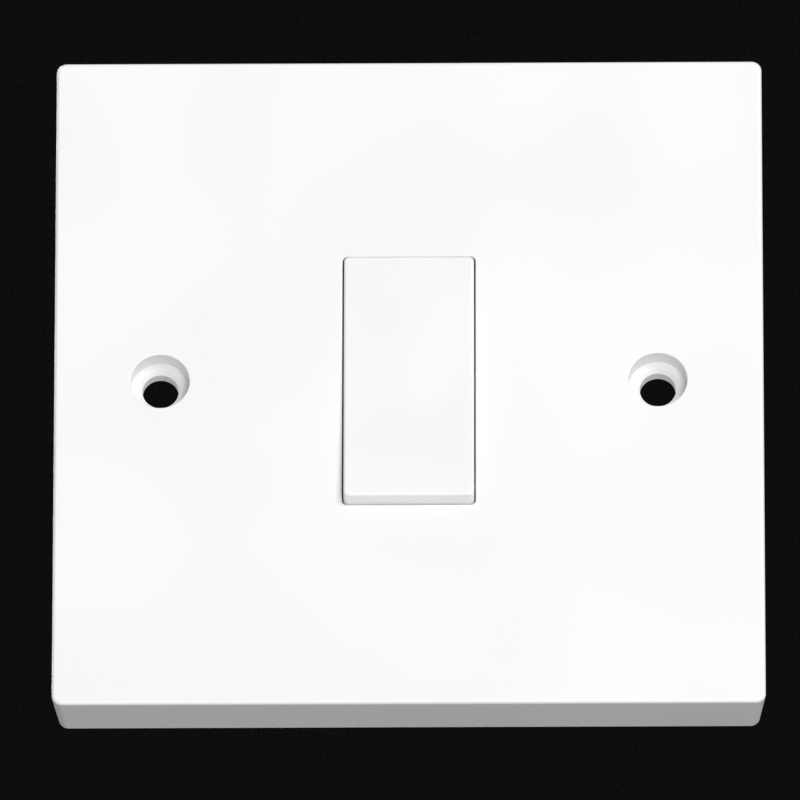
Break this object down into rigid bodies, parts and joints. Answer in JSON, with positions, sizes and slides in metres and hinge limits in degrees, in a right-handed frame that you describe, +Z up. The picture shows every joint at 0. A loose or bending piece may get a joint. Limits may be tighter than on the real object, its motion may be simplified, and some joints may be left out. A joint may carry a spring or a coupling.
{
  "type": "intermediate light switch",
  "caption": "Square moulded wall plate with a rocker that swaps over a pair of wires through see-saw contacts, with clamp terminals on a moulded base behind.",
  "frame": {"origin": "middle of the wall plane, where the plate's back rim rests", "axes": "+X to the right as seen from the room, +Y into the wall, +Z up"},
  "size_m": [0.086, 0.0224, 0.086],
  "materials": {
    "white_urea": "semi-gloss moulded",
    "base_resin": "matt moulded",
    "nylon": "satin moulded",
    "fibre_card": "pressed fibre",
    "brass_strip": "rolled strip",
    "terminal_brass": "machined",
    "silver_alloy": "coined",
    "spring_steel": "drawn wire",
    "plated_steel": "zinc plated"
  },
  "bodies": {
    "housing": {"front_plate": "white_urea", "fulcrum_left": "brass_strip", "fulcrum_right": "brass_strip", "cross_strip_front": "brass_strip", "cross_strip_rear": "brass_strip", "fixed_tips_front_strip": "silver_alloy", "fixed_tips_rear_strip": "silver_alloy", "cross_insulator": "fibre_card", "terminal_upper_left": "terminal_brass", "terminal_upper_right": "terminal_brass", "terminal_lower_left": "terminal_brass", "terminal_lower_right": "terminal_brass", "switch_base": "base_resin", "base_screws": "plated_steel"},
    "rocker": {"rocker": "white_urea", "plunger_spring_left": "spring_steel", "plunger_spring_right": "spring_steel"},
    "plunger_left": {"plunger_left": "nylon"},
    "plunger_right": {"plunger_right": "nylon"},
    "contact_left": {"moving_contact_left": "brass_strip", "moving_tips_left": "silver_alloy"},
    "contact_right": {"moving_contact_right": "brass_strip", "moving_tips_right": "silver_alloy"},
    "screw_upper_left": {"terminal_screw_upper_left": "plated_steel"},
    "screw_upper_right": {"terminal_screw_upper_right": "plated_steel"},
    "screw_lower_left": {"terminal_screw_lower_left": "plated_steel"},
    "screw_lower_right": {"terminal_screw_lower_right": "plated_steel"}
  },
  "joints": [
    {"name": "rocker_tilt", "type": "hinge", "parent": "housing", "child": "rocker", "pos_m": [0, -0.0048, 0], "axis": [1, 0, 0], "range_deg": [0, 4]},
    {"name": "plunger_left_slide", "type": "slide", "parent": "rocker", "child": "plunger_left", "axis": [0, -0.9994, 0.0349], "range_m": [0, 0.0012], "stiffness_N_per_m": 400, "springref_m": -0.002, "deforming": ["plunger_spring_left"]},
    {"name": "contact_left_tilt", "type": "hinge", "parent": "housing", "child": "contact_left", "pos_m": [-0.005, 0.00378, 0], "axis": [1, 0, 0], "range_deg": [-19, 0]},
    {"name": "plunger_right_slide", "type": "slide", "parent": "rocker", "child": "plunger_right", "axis": [0, -0.9994, 0.0349], "range_m": [0, 0.0012], "stiffness_N_per_m": 400, "springref_m": -0.002, "deforming": ["plunger_spring_right"]},
    {"name": "contact_right_tilt", "type": "hinge", "parent": "housing", "child": "contact_right", "pos_m": [0.005, 0.00378, 0], "axis": [1, 0, 0], "range_deg": [-19, 0]},
    {"name": "screw_upper_left_travel", "type": "slide", "parent": "housing", "child": "screw_upper_left", "axis": [0, -1, 0], "range_m": [0, 0.0028]},
    {"name": "screw_upper_right_travel", "type": "slide", "parent": "housing", "child": "screw_upper_right", "axis": [0, -1, 0], "range_m": [0, 0.0028]},
    {"name": "screw_lower_left_travel", "type": "slide", "parent": "housing", "child": "screw_lower_left", "axis": [0, -1, 0], "range_m": [0, 0.0028]},
    {"name": "screw_lower_right_travel", "type": "slide", "parent": "housing", "child": "screw_lower_right", "axis": [0, -1, 0], "range_m": [0, 0.0028]}
  ],
  "couplings": [
    {"joint": "contact_left_tilt", "follows": "rocker_tilt", "ratio": -4.75},
    {"joint": "contact_right_tilt", "follows": "rocker_tilt", "ratio": -4.75}
  ]
}
